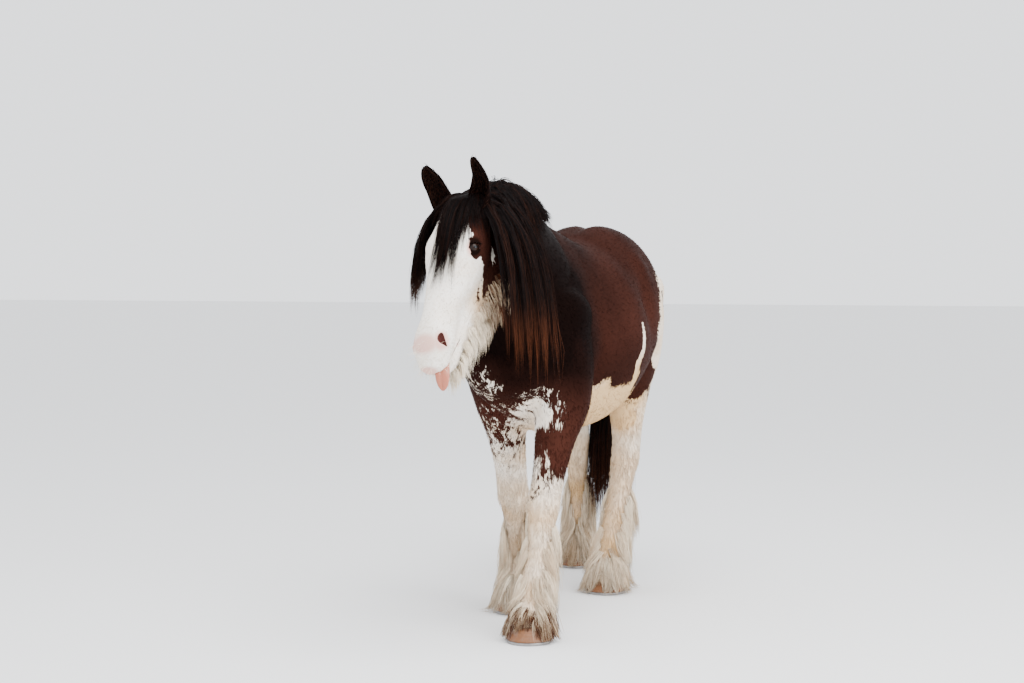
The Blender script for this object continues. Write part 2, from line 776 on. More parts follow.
soften_rims()
skin_tree = tree_of(skin)
print("skin finished,", len(skin.data.polygons), "faces")

# %% [markdown]
# The markings are named patches in space: white ovals, then dark ovals over them. The value is above
# zero where the hair is white, and it is stored on the skin and on every tuft's root, so skin and coat
# agree. The shader turns it into a ragged edge.

# %% The white and dark patches
# Name, centre x, y, z, reach along x, y, z
WHITE_PATCHES = [
    ("near fore stocking", 0.130, -0.780, 0.250, 0.300, 0.300, 0.400),
    ("off fore stocking", -0.110, -0.330, 0.380, 0.220, 0.500, 0.390),
    ("near hind stocking", 0.150, 0.520, 0.450, 0.300, 0.500, 0.480),
    ("near flank streak", 0.330, 0.060, 1.050, 0.140, 0.040, 0.190),
    ("near buttock", 0.300, 0.780, 1.180, 0.260, 0.320, 0.320),
    ("off hind stocking", -0.190, 0.950, 0.450, 0.300, 0.600, 0.520),
    ("off flank", -0.300, 0.160, 0.900, 0.160, 0.100, 0.160),
    ("belly", 0.160, -0.200, 0.850, 0.300, 0.480, 0.145),
    ("brisket", 0.040, -0.620, 0.830, 0.080, 0.120, 0.070),
    ("near breast swirl", 0.110, -0.740, 0.900, 0.060, 0.090, 0.060),
]
DARK_PATCHES = [
    ("near thigh", 0.300, 0.280, 1.070, 0.170, 0.180, 0.150),
    ("near gaskin", 0.270, 0.500, 0.960, 0.120, 0.130, 0.070),
    ("near forearm", 0.290, -0.640, 0.830, 0.120, 0.220, 0.170),
    ("buttock spots", 0.300, 0.660, 1.330, 0.060, 0.030, 0.040),
    ("lower buttock spot", 0.280, 0.760, 1.180, 0.060, 0.026, 0.034),
]

# The same on the head, in its own frame
FACE_WHITE = [
    ("blaze", 0.000, -0.090, -0.330, 0.160, 0.090, 0.310),
    ("near cheek", 0.080, 0.000, -0.370, 0.130, 0.090, 0.150),
    ("off cheek", -0.080, 0.000, -0.370, 0.130, 0.090, 0.150),
    ("jaw", 0.000, 0.130, -0.480, 0.180, 0.200, 0.130),
    ("muzzle and chin", 0.000, 0.020, -0.600, 0.180, 0.200, 0.200),
    ("spot behind the eye", 0.095, 0.100, -0.175, 0.060, 0.011, 0.036),
]
FACE_DARK = [
    ("near eye", 0.116, -0.034, -0.212, 0.036, 0.032, 0.042),
    ("off eye", -0.116, -0.034, -0.212, 0.036, 0.032, 0.042),
]


def ripple(points, size, seed, count=7):
    """A soft unevenness between about -1 and 1: waves in a few drawn directions."""
    dice = np.random.default_rng(seed)
    total = np.zeros(len(points))
    for _ in range(count):
        way = dice.normal(size=3)
        way *= dice.uniform(0.6, 1.6) * 2 * math.pi / size / np.linalg.norm(way)
        total += np.sin(points @ way + dice.uniform(0, 6.28))
    return total / math.sqrt(count)


def patches(points, rows):
    """Above zero inside any of the ovals, one at their centres."""
    best = np.full(len(points), -3.0)
    for _, x, y, z, reach_x, reach_y, reach_z in rows:
        away = (points - (x, y, z)) / (reach_x, reach_y, reach_z)
        best = np.maximum(best, 1.0 - np.linalg.norm(away, axis=1))
    return best


def head_share(local):
    """1 on the head, 0 behind the line of the throat."""
    behind = local[:, 1] + 0.45 * (local[:, 2] + 0.12) - 0.13
    below = np.clip((local[:, 2] + 0.78) / 0.04, 0, 1)
    return np.clip(0.5 - behind / 0.02, 0, 1) * below * (local[:, 2] < 0.10)


def whiteness(points):
    """Above zero where the hair is white."""
    uneven = np.stack([ripple(points, 0.16, seed) for seed in (1, 2, 3)], axis=1)
    fine = np.stack([ripple(points, 0.045, seed) for seed in (4, 5, 6)], axis=1)
    bent = points + 0.020 * uneven + 0.006 * fine
    ground = np.maximum(patches(bent, WHITE_PATCHES), 0.9 * roan_share(points) - 1.2)
    body = np.minimum(ground, -patches(bent, DARK_PATCHES))
    local = in_head(points)
    local_bent = local + 0.008 * uneven + 0.003 * fine
    face = np.minimum(2.5 * patches(local_bent, FACE_WHITE), -2.5 * patches(local_bent, FACE_DARK))
    share = head_share(local)
    return body * (1 - share) + face * share


def roan_share(points):
    """Where white and dark hairs stand mixed: the breast, the tops of the forelegs and the cheek."""
    rows = [
        ("off breast", -0.120, -0.800, 1.020, 0.220, 0.280, 0.200),
        ("off forearm", -0.130, -0.540, 0.840, 0.180, 0.240, 0.240),
        ("near breast", 0.130, -0.780, 0.950, 0.180, 0.200, 0.140),
        ("near forearm", 0.100, -0.780, 0.660, 0.100, 0.110, 0.160),
    ]
    cheeks = [("cheek", s * 0.090, 0.110, -0.350, 0.080, 0.120, 0.090) for s in (1, -1)]
    local = in_head(points)
    cheek = patches(local, cheeks) * head_share(local)
    return np.clip(np.maximum(patches(points, rows), cheek) * 1.6, 0, 1)


def dark_share(points):
    """From near black on the neck and legs' tops to red on the flank."""
    back = np.clip((points[:, 1] + 0.75) / 0.9, 0, 1)
    top = np.clip((points[:, 2] - 1.38) / 0.2, 0, 1)
    shoulders = np.clip(1.6 * patches(points, [("shoulders", 0.0, -0.66, 1.30, 0.70, 0.42, 0.40)]), 0, 1)
    forearms = np.clip(1.8 * patches(points, [("forearms", 0.0, -0.66, 0.78, 0.60, 0.36, 0.32)]), 0, 1)
    shade = 0.74 - 0.46 * back + 0.24 * top + 0.45 * shoulders - 0.62 * forearms
    local = in_head(points)
    head = 0.30 + 0.7 * np.clip((local[:, 2] + 0.14) / 0.08, 0, 1)
    share = head_share(local)
    return np.clip(shade * (1 - share) + head * share + 0.10 * ripple(points, 0.30, 8), 0.05, 1.0)


def cream_share(points):
    """Yellow stain on the belly, the hind legs and the long hair low on the legs."""
    low = np.clip((0.72 - points[:, 2]) / 0.25, 0, 1)
    belly = np.clip(2.2 * patches(points, [("belly", 0.10, 0.05, 0.86, 0.50, 0.66, 0.36)]), 0, 1)
    spot = np.clip(3.0 * patches(points, [("tan spot", 0.200, 0.500, 0.780, 0.060, 0.045, 0.045)]), 0, 1)
    hind = 0.15 * (points[:, 1] > 0.2)
    local = in_head(points)
    jaw = [("jaw", s * 0.080, 0.150, -0.360, 0.130, 0.130, 0.130) for s in (1, -1)]
    cheek = 0.7 * np.clip(2.0 * patches(local, jaw), 0, 1) * head_share(local)
    legs = (0.22 + 0.42 * low + 0.95 * belly + hind + spot) * (1 - head_share(local))
    return np.clip(0.04 + legs + cheek + 0.12 * ripple(points, 0.20, 9), 0, 1)


def bare_share(points):
    """Pink or dark naked skin: nose, lips and the rims of the eyes."""
    local = in_head(points)
    nose = [("nose", 0.0, -0.080, -0.615, 0.085, 0.045, 0.048), ("lip", 0.0, -0.02, -0.70, 0.05, 0.03, 0.02)]
    nostrils = [("nostril", s * 0.070, -0.060, -0.598, 0.036, 0.042, 0.050) for s in (1, -1)]
    eyes = [("eye", s * 0.120, -0.040, -0.214, 0.034, 0.038, 0.050) for s in (1, -1)]
    corner = [("mouth", s * 0.062, 0.050, -0.570, 0.016, 0.014, 0.014) for s in (1, -1)]
    soft = np.clip(2.0 * patches(local, nose + nostrils + corner), 0, 0.85)
    return np.maximum(soft, np.clip(2.6 * patches(local, eyes), 0, 1))


def inner_share(points):
    """1 deep inside the nostrils, the mouth and the eye sockets, 0 on the open skin."""
    local = in_head(points)
    face = np.nonzero((local[:, 2] < -0.15) & (local[:, 2] > -0.72) & (local[:, 1] < 0.10))[0]
    depth = np.zeros(len(points))
    for i in face:
        near, normal, _, _ = uncut_tree.find_nearest(Vector(points[i]))
        depth[i] = (near - Vector(points[i])).dot(normal)
    return np.clip((depth - 0.0015) / 0.004, 0, 1)


def fields_of(points):
    """Every value of the coat at these places."""
    return {
        "inner": inner_share(points),
        "white": whiteness(points),
        "roan": roan_share(points),
        "dark": dark_share(points),
        "cream": cream_share(points),
        "bare": bare_share(points),
    }


skin_fields = fields_of(points_of(skin.data))
for name, values in skin_fields.items():
    store(skin.data, name, values)
print("white share of the skin", round(float((skin_fields["white"] > 0).mean()), 2))

# %% [markdown]
# One material colours the skin and the short tufts. Streaks of noise drawn out along the hair shift the
# edge of each marking, more where the coat is roan, and lighten or darken single hairs. On the legs and
# the face the hair runs down, on the trunk it runs back and down.

# %% The coat's material
BAY_DARK = (0.0032, 0.0018, 0.0016)
BAY_RED = (0.049, 0.0160, 0.0110)
WHITE_HAIR = (0.90, 0.86, 0.80)
CREAM_HAIR = (0.60, 0.37, 0.16)
PINK_SKIN = (0.64, 0.33, 0.27)
DARK_SKIN = (0.0035, 0.0022, 0.0018)
INNER_SKIN = (0.130, 0.046, 0.040)
DARK_SHADE = (0.0055, 0.0022, 0.0018)
PALE_SHADE = (0.66, 0.54, 0.40)


def coat_finish(name):
    finish = Finish(name, roughness=0.55)
    height = finish.height()
    trunk = height.step(0.95, 1.15)
    down = finish.noise(finish.place((210.0, 210.0, 24.0)), 1.0, 3.0)
    back = finish.noise(finish.place((190.0, 30.0, 120.0), (0.5, 0.0, 0.0)), 1.0, 3.0)
    streak = down * (1.0 - trunk) + back * trunk
    blotch = finish.noise(finish.place(), 9.0, 3.0)
    roan = finish.attribute("roan")
    whorl = finish.noise(finish.place((34.0, 34.0, 10.0), (0.0, 0.35, 0.0)), 1.0, 3.0, 0.55, 1.2)
    white = finish.attribute("white") + (streak - 0.5) * (0.55 + 1.6 * roan)
    white = white + (blotch - 0.5) * 0.30 + (whorl - 0.49) * 3.2 * roan
    mask = white.step(-0.04 - 0.12 * roan, 0.06 + 0.22 * roan)
    tone = finish.attribute("tone")
    bay = finish.colour(finish.attribute("dark") + (streak - 0.5) * 0.20, BAY_RED, BAY_DARK)
    pale = finish.colour(finish.attribute("cream") + (streak - 0.5) * 0.5, WHITE_HAIR, CREAM_HAIR)
    hair = finish.colour(mask, bay, pale)
    shade = finish.colour(mask, DARK_SHADE, PALE_SHADE)
    shaded = finish.colour(streak * 0.34 + tone * 0.06, hair, shade)
    naked = finish.colour(mask, DARK_SKIN, PINK_SKIN)
    open_skin = finish.colour(finish.attribute("bare") * (0.75 + 0.25 * blotch), shaded, naked)
    finish.set("Base Color", finish.colour(finish.attribute("inner"), open_skin, INNER_SKIN))
    finish.set("Roughness", 0.38 + 0.27 * mask)
    finish.bump(streak, 0.0010, 0.35)
    finish.set("Specular IOR Level", 0.0015)
    return finish.material


coat_material = coat_finish("coat")
skin.data.materials.clear()
skin.data.materials.append(coat_material)


def ready(obj):
    """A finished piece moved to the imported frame, riding with the body."""
    obj.data.transform(Matrix.Translation(SHIFT))
    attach(obj, "root")
    return obj


def all_black(mesh):
    """The values of a black coat on every point of a mesh."""
    for field in skin_fields:
        value = {"white": -1.0, "dark": 1.0}.get(field, 0.0)
        store(mesh, field, np.full(len(mesh.vertices), value))


flesh_nodes = ["head", "neck", "torso", "tail"]
for leg in LEG_JOINTS:
    flesh_nodes += [leg + "_upper", leg + "_lower"]
ready(skin)
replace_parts(skin, *flesh_nodes)
print("skin replaces", len(flesh_nodes), "nodes")

# %% [markdown]
# All hair is made the same way. A guide path leaves its root, bends down and lies on the skin. A lock is
# a flat bundle of strands that follow one guide, and each strand is a closed three-sided tube that
# tapers to a point. Arrays hold all strands at once, so thousands of them take a moment.

# %% Guides and locks
STRAND_STEPS = 6
LOCK_FLOOR = 0.012
dice = np.random.default_rng(7)


def unit(vectors):
    return vectors / np.maximum(np.linalg.norm(vectors, axis=-1, keepdims=True), 1e-9)


def fall(root, heading, length, pull, lift, steps=STRAND_STEPS):
    """The places and surface normals along a guide that bends down and lies on the skin."""
    path, normals = [Vector(root)], [skin_tree.find_nearest(root)[1]]
    way = Vector(heading).normalized()
    for i in range(steps):
        way = (way + Vector((0.0, 0.0, -pull))).normalized()
        spot = path[-1] + way * (length / steps)
        near, normal, _, _ = skin_tree.find_nearest(spot)
        needed = lift * (0.4 + 1.2 * i / steps)
        spot += normal * max(needed - (spot - near).dot(normal), 0.0)
        spot.z = max(spot.z, LOCK_FLOOR)
        way = (spot - path[-1]).normalized()
        path.append(spot)
        normals.append(normal)
    return np.array(path), np.array(normals)


def bundle(path, normals, count, half, thick, wave=0.004, shortest=0.70):
    """The strands of one lock: spread over its width, closing towards its tip, each a little wavy."""
    steps = len(path)
    t = np.linspace(0.0, 1.0, steps)
    at = t * dice.uniform(shortest, 1.0, (count, 1))
    spine = np.stack([np.interp(at, t, path[:, i]) for i in range(3)], axis=-1)
    up = unit(np.stack([np.interp(at, t, normals[:, i]) for i in range(3)], axis=-1))
    side = unit(np.cross(np.gradient(spine, axis=1), up))
    spread = np.interp(at, [0.0, 0.2, 0.6, 1.0], [0.7, 1.0, 0.8, 0.35])
    stray = 1.0 + 1.2 * (dice.random((count, 1)) < 0.10) * at
    across = dice.uniform(-1.0, 1.0, (count, 1)) * half * spread * stray
    above = dice.uniform(0.0, 1.0, (count, 1)) * thick * spread * stray
    turn = dice.uniform(0.0, 6.28, (count, 1)) + at * dice.uniform(5.0, 11.0, (count, 1))
    across = across + wave * at * np.sin(turn)
    above = above + 0.5 * wave * at * np.cos(turn)
    strands = spine + side * across[..., None] + up * above[..., None]
    strands[..., 2] = np.maximum(strands[..., 2], 0.4 * LOCK_FLOOR)
    return strands, up


def unwrap(points):
    """Where a root lies on the skin laid out flat: trunk and neck above, head and the four legs below."""
    x, y, z = points.T
    local = in_head(points)
    u = np.arctan2(x, z - 1.20) / 6.30 + 0.5
    v = 0.52 + 0.46 * (y + 1.40) / 2.60
    on_head = head_share(local) > 0.5
    u = np.where(on_head, 0.02 + 0.30 * (np.arctan2(local[:, 0], -local[:, 1]) / 6.30 + 0.5), u)
    v = np.where(on_head, 0.03 + 0.44 * (0.10 - local[:, 2]) / 0.95, v)
    for i, joints in enumerate(LEG_JOINTS.values()):
        line = np.array(joints)[::-1]
        middle = [np.interp(z, line[:, 2], line[:, k]) for k in (0, 1)]
        on_leg = (z < 0.95) & (np.hypot(x - middle[0], y - middle[1]) < 0.20) & ~on_head
        turn = np.arctan2(x - middle[0], y - middle[1]) / 6.30 + 0.5
        u = np.where(on_leg, 0.34 + 0.16 * i + 0.15 * turn, u)
        v = np.where(on_leg, 0.03 + 0.44 * z, v)
    return np.clip(np.stack([u, v], axis=1), 0.002, 0.998)


# %% Strands as one mesh
PATCH = 0.003


def strand_mesh(name, paths, normals, radius, fields, flat=1.0):
    """Every strand as a closed three-sided tube with its values and its patch of the unwrap."""
    count, steps, _ = paths.shape
    way = unit(np.gradient(paths, axis=1))
    side = unit(np.cross(way, normals))
    up = np.cross(side, way)
    t = np.linspace(0.0, 1.0, steps)
    width = np.reshape(radius, (-1, 1, 1)) * np.interp(t, [0.0, 0.5, 1.0], [1.0, 0.9, 0.2])[None, :-1, None]
    corners = []
    for turn in np.radians((90.0, 210.0, 330.0)):
        out = side * math.cos(turn) + up * (math.sin(turn) * flat)
        corners.append(paths[:, :-1] + out[:, :-1] * width)
    rings = np.stack(corners, axis=2).reshape(count, -1, 3)
    points = np.concatenate([rings, paths[:, -1:]], axis=1)
    each = points.shape[1]
    walls, ends = [], [(0, 1, 2)]
    for k in range(steps - 2):
        walls += [(3 * k + i, 3 * k + 3 + i, 3 * k + 3 + (i + 1) % 3, 3 * k + (i + 1) % 3) for i in range(3)]
    last = 3 * (steps - 2)
    ends += [(last + (i + 1) % 3, last + i, each - 1) for i in range(3)]
    first = np.arange(count)[:, None, None] * each
    walls = (np.array(walls)[None] + first).reshape(-1, 4)
    ends = (np.array(ends)[None] + first).reshape(-1, 3)
    corner_points = np.concatenate([walls.ravel(), ends.ravel()])
    mesh = bpy.data.meshes.new(name)
    mesh.vertices.add(count * each)
    mesh.vertices.foreach_set("co", points.ravel())
    mesh.loops.add(len(corner_points))
    mesh.loops.foreach_set("vertex_index", corner_points)
    mesh.polygons.add(len(walls) + len(ends))
    starts = np.concatenate([np.arange(len(walls)) * 4, walls.size + np.arange(len(ends)) * 3])
    mesh.polygons.foreach_set("loop_start", starts)
    mesh.update(calc_edges=True)
    mesh.shade_smooth()
    spot = np.arange(each)
    patch = np.stack([spot % 3 / 2.0, spot // 3 / (steps - 1)], axis=1) - 0.5
    layout = (unwrap(paths[:, 0])[:, None] + PATCH * patch[None]).reshape(-1, 2)
    layer = mesh.uv_layers.new(name="OFBake")
    layer.data.foreach_set("uv", layout[corner_points].ravel())
    along = np.concatenate([np.repeat(t[:-1], 3), [1.0]])
    store(mesh, "along", np.tile(along, count))
    store(mesh, "tone", np.repeat(dice.random(count), each))
    for field, values in fields.items():
        values = np.asarray(values)
        if values.ndim == 1:
            values = np.repeat(values[:, None], steps, axis=1)
        values = np.concatenate([np.repeat(values[:, :-1], 3, axis=1), values[:, -1:]], axis=1)
        store(mesh, field, values.ravel())
    return linked(name, mesh)


# %% [markdown]
# Long hair goes from black at the root to chestnut at the tip where it is dark, and from white to a
# dirty beige where it is pale. Both come from values stored along each strand.

# %% The material of long hair
BLACK_HAIR = (0.0045, 0.0032, 0.0032)
CHESTNUT_HAIR = (0.098, 0.030, 0.013)
PALE_HAIR = (0.94, 0.85, 0.69)
BEIGE_HAIR = (0.50, 0.32, 0.165)


def long_hair_finish():
    finish = Finish("long hair", roughness=0.42)
    tone = finish.attribute("tone") - 0.5
    warm = finish.attribute("warm") + tone * (0.05 + 0.35 * finish.attribute("along"))
    dark = finish.colour(warm, BLACK_HAIR, CHESTNUT_HAIR)
    pale = finish.colour(warm, PALE_HAIR, BEIGE_HAIR)
    finish.set("Base Color", finish.colour(finish.attribute("pale"), dark, pale))
    finish.set("Roughness", 0.38 + 0.20 * finish.attribute("pale") + tone * 0.1)
    finish.set("Specular IOR Level", 0.03)
    return finish.material


long_hair = long_hair_finish()


def haired(name, locks, radius, warm, pale):
    """One piece of long hair from its locks. warm and pale give each point's value from place and share."""
    paths = np.concatenate([paths for paths, _ in locks])
    normals = np.concatenate([up for _, up in locks])
    share = np.broadcast_to(np.linspace(0.0, 1.0, paths.shape[1]), paths.shape[:2])
    fields = {"warm": warm(paths, share), "pale": pale(paths, share)}
    sizes = radius * dice.uniform(0.6, 1.2, len(paths))
    obj = strand_mesh(name, paths, normals, sizes, fields)
    obj.data.materials.append(long_hair)
    print(name, len(paths), "strands,", len(obj.data.polygons), "faces")
    ready(obj)


def never(paths, share):
    """No pale hair anywhere."""
    return share * 0.0


def mixed(paths, size=0.05, seed=1):
    """A value between about -1 and 1 that changes softly over the roots."""
    return ripple(paths[:, 0], size, seed)[:, None]


# %% Mane
# Place along the crest and how long the hair is there
MANE_LENGTHS = [
    (-1.15, 0.86),
    (-1.10, 0.90),
    (-1.06, 0.62),
    (-0.98, 0.44),
    (-0.86, 0.32),
    (-0.62, 0.18),
    (-0.42, 0.07),
]
MANE_START = -1.150
MANE_REACH = 0.735
MANE_LOCKS = 136
OFF_SIDE_LOCKS = 22
WISPS = 90


def mane():
    """Locks from the crest: most fall on the near side, short ones on the other, wisps over the top."""
    places, lengths = zip(*MANE_LENGTHS)
    locks = []
    for i in range(MANE_LOCKS):
        y = MANE_START + MANE_REACH * ((i + dice.uniform(0.0, 1.0)) / MANE_LOCKS) ** 1.25
        x = dice.uniform(-0.030, 0.034)
        length = float(np.interp(y, places, lengths)) * dice.uniform(0.72, 1.05)
        root = skin_tree.ray_cast(Vector((x - 0.020, y, 3.0)), Vector((0, 0, -1)))[0]
        rise = 0.30 + 0.5 * max(0.0, (-1.02 - y) / 0.13) + 4.0 * max(0.0, 0.02 - x)
        ahead = -0.90 if y < -1.08 else -0.8
        heading = (1.0, dice.uniform(ahead, 0.10), rise + dice.uniform(-0.2, 0.3))
        path, normals = fall(root, heading, length, 0.90, dice.uniform(0.003, 0.024))
        locks.append(bundle(path, normals, 30, 0.024, 0.014, 0.010))
    for i in range(OFF_SIDE_LOCKS):
        y = MANE_START + 0.45 * (i + dice.uniform(0.0, 1.0)) / OFF_SIDE_LOCKS
        root = skin_tree.ray_cast(Vector((dice.uniform(-0.065, -0.040), y, 3.0)), Vector((0, 0, -1)))[0]
        path, normals = fall(root, (-1.0, -0.1, 0.2), dice.uniform(0.14, 0.26), 0.75, 0.004)
        locks.append(bundle(path, normals, 24, 0.020, 0.006, 0.005))
    for i in range(WISPS):
        y = MANE_START + MANE_REACH * (i + dice.uniform(0.0, 1.0)) / WISPS
        root = skin_tree.ray_cast(Vector((dice.uniform(-0.045, 0.020), y, 3.0)), Vector((0, 0, -1)))[0]
        heading = (dice.uniform(-0.8, 1.0), dice.uniform(-0.5, 0.9), 1.1)
        path, normals = fall(root, heading, dice.uniform(0.05, 0.10), 0.55, 0.006)
        locks.append(bundle(path, normals, 7, 0.014, 0.010, 0.008, 0.5))
    warm = lambda paths, share: np.clip((1.34 - paths[..., 2]) / 0.20, 0, 1.0) + 0.04 * mixed(paths)
    haired("mane", locks, 0.0012, warm, never)


mane()

# %% Forelock
# Locks, spread of the fan towards the near side, lengths, strands a lock
FORELOCK = [
    (44, (-1.60, -0.70), (0.36, 0.52), 26),
    (8, (-0.70, -0.30), (0.10, 0.18), 24),
    (24, (0.02, 0.36), (0.20, 0.34), 24),
    (24, (0.12, 0.28), (0.38, 0.50), 24),
    (10, (0.35, 0.80), (0.12, 0.20), 16),
    (6, (0.60, 1.10), (0.18, 0.27), 12),
]


def forelock():
    """A thick fall over the off side of the forehead, one down its middle, a few by the near eye."""
    locks = []
    for count, fans, lengths, strands in FORELOCK:
        for _ in range(count):
            fan = dice.uniform(*fans)
            across = np.clip(fan + dice.uniform(-0.5, 0.5), -1, 1)
            place = head_point(0.045 * across, dice.uniform(-0.045, 0.025), 0.030 - 0.030 * abs(across))
            root = skin_tree.find_nearest(place)[0]
            heading = head_direction(fan, -0.9 + 0.3 * abs(fan), 0.15)
            path, normals = fall(root, heading, dice.uniform(*lengths), 0.80, dice.uniform(0.003, 0.018))
            locks.append(bundle(path, normals, strands, 0.013, 0.007, 0.006))
    warm = lambda paths, share: np.clip((1.48 - paths[..., 2]) / 0.25, 0, 0.6)
    haired("forelock", locks, 0.0011, warm, never)


forelock()

# %% Beard along the jaw
BEARD_LOCKS = 330
FARTHEST_ROOT = 0.15


def beard():
    """The fringe under the jaw, brown at its rear and cream to the chin."""
    locks = []
    for _ in range(BEARD_LOCKS):
        t = dice.uniform(0.0, 1.0)
        turn = math.radians(dice.uniform(-1, 1) * (88 - 120 * max(0.0, t - 0.62)))
        middle = head_point(0.0, 0.128 - 0.075 * t, -0.225 - 0.420 * t)
        root = skin_tree.ray_cast(middle, head_direction(math.sin(turn), math.cos(turn), 0.0))[0]
        if (root - middle).length > FARTHEST_ROOT:
            continue
        heading = head_direction(0.7 * math.sin(turn), 0.75 - 0.35 * t, -0.80)
        length = dice.uniform(0.070, 0.160) * (1.0 - 0.45 * abs(math.sin(turn))) * (1.05 - 0.25 * t)
        path, normals = fall(root, heading, length, 0.48, dice.uniform(0.002, 0.010), 4)
        locks.append(bundle(path, normals, 16, 0.030, 0.018, 0.004, 0.5))
    rear = lambda paths: np.clip((in_head(paths[:, 0])[:, 2] + 0.50) / 0.18, 0, 1)[:, None]
    brown = lambda paths: rear(paths) * (0.95 + 0.7 * mixed(paths, 0.03))
    pale = lambda paths, share: np.clip(1.3 - brown(paths), 0, 1) + 0 * share
    warm = lambda paths, share: 0.14 + 0.10 * share + 0.55 * rear(paths) + 0.10 * mixed(paths, 0.03)
    haired("beard", locks, 0.0008, warm, pale)


beard()

# %% Feather of one leg
FEATHER_LOCKS = 170
BELL_LOCKS = 90
WET_LOCKS = 120


def leg_middle(name, height):
    """The middle of the cannon or pastern at a height."""
    joints = [Vector(joint) for joint in LEG_JOINTS[name]]
    i = 2 if height > joints[3].z else 3
    share = (joints[i].z - height) / (joints[i].z - joints[i + 1].z)
    return joints[i].lerp(joints[i + 1], share)


def feather(name):
    """Long hair from under the knee or hock that bells out over the hoof, longest behind."""
    locks = []
    reach = 1.0 if name == "fore_left" else 1.15
    for _ in range(FEATHER_LOCKS):
        height = 0.105 + 0.355 * dice.random() ** 1.15
        widest = np.interp(height, [0.16, 0.30, 0.46], [180.0, 150.0, 95.0])
        turn = math.radians(180.0 + dice.uniform(-1.0, 1.0) * widest)
        middle = leg_middle(name, height)
        way = Vector((math.sin(turn), -math.cos(turn), 0.0))
        root = skin_tree.ray_cast(middle, way)[0]
        behind = -math.cos(turn)
        heading = way * (0.30 + 0.20 * behind) + Vector((dice.uniform(-0.15, 0.15), 0.0, -1.0))
        length = np.interp(height, [0.10, 0.20, 0.45], [0.105, 0.185, 0.200]) * (0.92 + 0.20 * behind)
        length *= reach * dice.uniform(0.75, 1.05)
        path, normals = fall(root, heading, length, 0.42, dice.uniform(0.004, 0.034), 4)
        locks.append(bundle(path, normals, 20, 0.022, 0.016, 0.006, 0.6))
    open_front = 34.0 if name == "fore_left" else 0.0
    for _ in range(BELL_LOCKS):
        turn = math.radians(180.0 + dice.uniform(-1.0, 1.0) * (180.0 - open_front))
        way = Vector((math.sin(turn), -math.cos(turn), 0.0))
        height = dice.uniform(0.100, 0.165)
        root = skin_tree.ray_cast(leg_middle(name, height), way)[0]
        heading = way * dice.uniform(0.38, 0.66)
        heading += Vector((dice.uniform(-0.2, 0.2), dice.uniform(-0.2, 0.2), -1.0))
        length = (height - 0.004) * dice.uniform(1.0, 1.4 if open_front else 1.8)
        path, normals = fall(root, heading, length, 0.18, dice.uniform(0.004, 0.020), 4)
        locks.append(bundle(path, normals, 20, 0.022, 0.012, 0.006, 0.7))
    for _ in range(WET_LOCKS if name == "fore_left" else 0):
        turn = math.radians(dice.uniform(-75, 75))
        way = Vector((math.sin(turn), -math.cos(turn), 0.0))
        root = skin_tree.ray_cast(leg_middle(name, dice.uniform(0.092, 0.135)), way)[0]
        heading = way * dice.uniform(0.30, 0.60) + Vector((dice.uniform(-0.6, 0.6), 0.0, -1.0))
        length = dice.uniform(0.036, 0.066)
        path, normals = fall(root, heading, length, 0.15, dice.uniform(0.002, 0.008), 4)
        locks.append(bundle(path, normals, 14, 0.012, 0.006, 0.004, 0.6))
    wet = 1.0 if name == "fore_left" else 0.3
    dirt = lambda paths: wet * np.clip((0.142 - paths[..., 2] + 0.03 * mixed(paths, 0.02)) / 0.05, 0, 1)
    warm = lambda paths, share: 0.40 + 0.16 * share + 0.15 * dirt(paths) + 0.14 * mixed(paths)
    pale = lambda paths, share: np.clip(1.0 - dirt(paths) * (0.72 + 0.5 * mixed(paths, 0.02)), 0, 1)
    haired(name + "_feather", locks, 0.0010, warm, pale)


for leg in LEG_JOINTS:
    feather(leg)

# %% [markdown]
# The tail is a tapering dock with long locks from all round it. It hangs behind the hind legs to the
# fetlocks and shows black between them.

# %% Tail
# Middle of the dock: x, y, z, half width, reach back, reach forward, power
DOCK = [
    (0.000, 0.955, 1.470, 0.018, 0.018, 0.018, 2.0),
    (0.000, 0.985, 1.400, 0.032, 0.030, 0.030, 2.0),
    (0.000, 1.008, 1.280, 0.032, 0.030, 0.030, 2.0),
    (-0.016, 1.020, 1.100, 0.026, 0.024, 0.024, 2.0),
    (-0.026, 1.030, 0.940, 0.016, 0.014, 0.014, 2.0),
    (-0.030, 1.030, 0.870, 0.006, 0.006, 0.006, 2.0),
]
TAIL_LOCKS = 96


def tail():
    locks = []
    for _ in range(TAIL_LOCKS):
        height = 0.95 + 0.47 * dice.random()
        turn = dice.uniform(0.0, 6.28)
        way = Vector((math.sin(turn), 0.7 * math.cos(turn), 0.0))
        y = np.interp(height, [0.94, 1.10, 1.28, 1.40, 1.47], [1.030, 1.020, 1.008, 0.985, 0.955])
        x = -0.026 * np.clip((1.40 - height) / 0.45, 0, 1)
        root = Vector((x, y, height)) + way * 0.024
        heading = way * 0.20 + Vector((dice.uniform(-0.16, 0.02), 0.05, -1.0))
        length = (height - 0.15) * dice.uniform(0.80, 1.0)
        path, normals = fall(root, heading, length, 0.50, 0.012)
        out = np.array([way] * len(path))
        locks.append(bundle(path, out, 26, 0.034, 0.016, 0.012))
    warm = lambda paths, share: np.clip((share - 0.70) * 1.8, 0, 0.8)
    haired("tail_hair", locks, 0.0014, warm, never)
    dock = mesh_object(swept(DOCK, (0, 1, 0.3), along=30, around=24), "tail_dock")
    dock.data.shade_smooth()
    dock.data.materials.append(coat_material)
    all_black(dock.data)
    ready(dock)


tail()

# %% [markdown]
# The short coat is tufts that lie nearly flat over the skin's own streaked bump. They are thin and
# overlap along the lie. They are longer low on the legs, the belly and the jaw, and shortest on the
# face, and none stand on naked skin.

# %% The short coat
COAT_TUFTS = 46000
TUFTS_A_PIECE = 16000


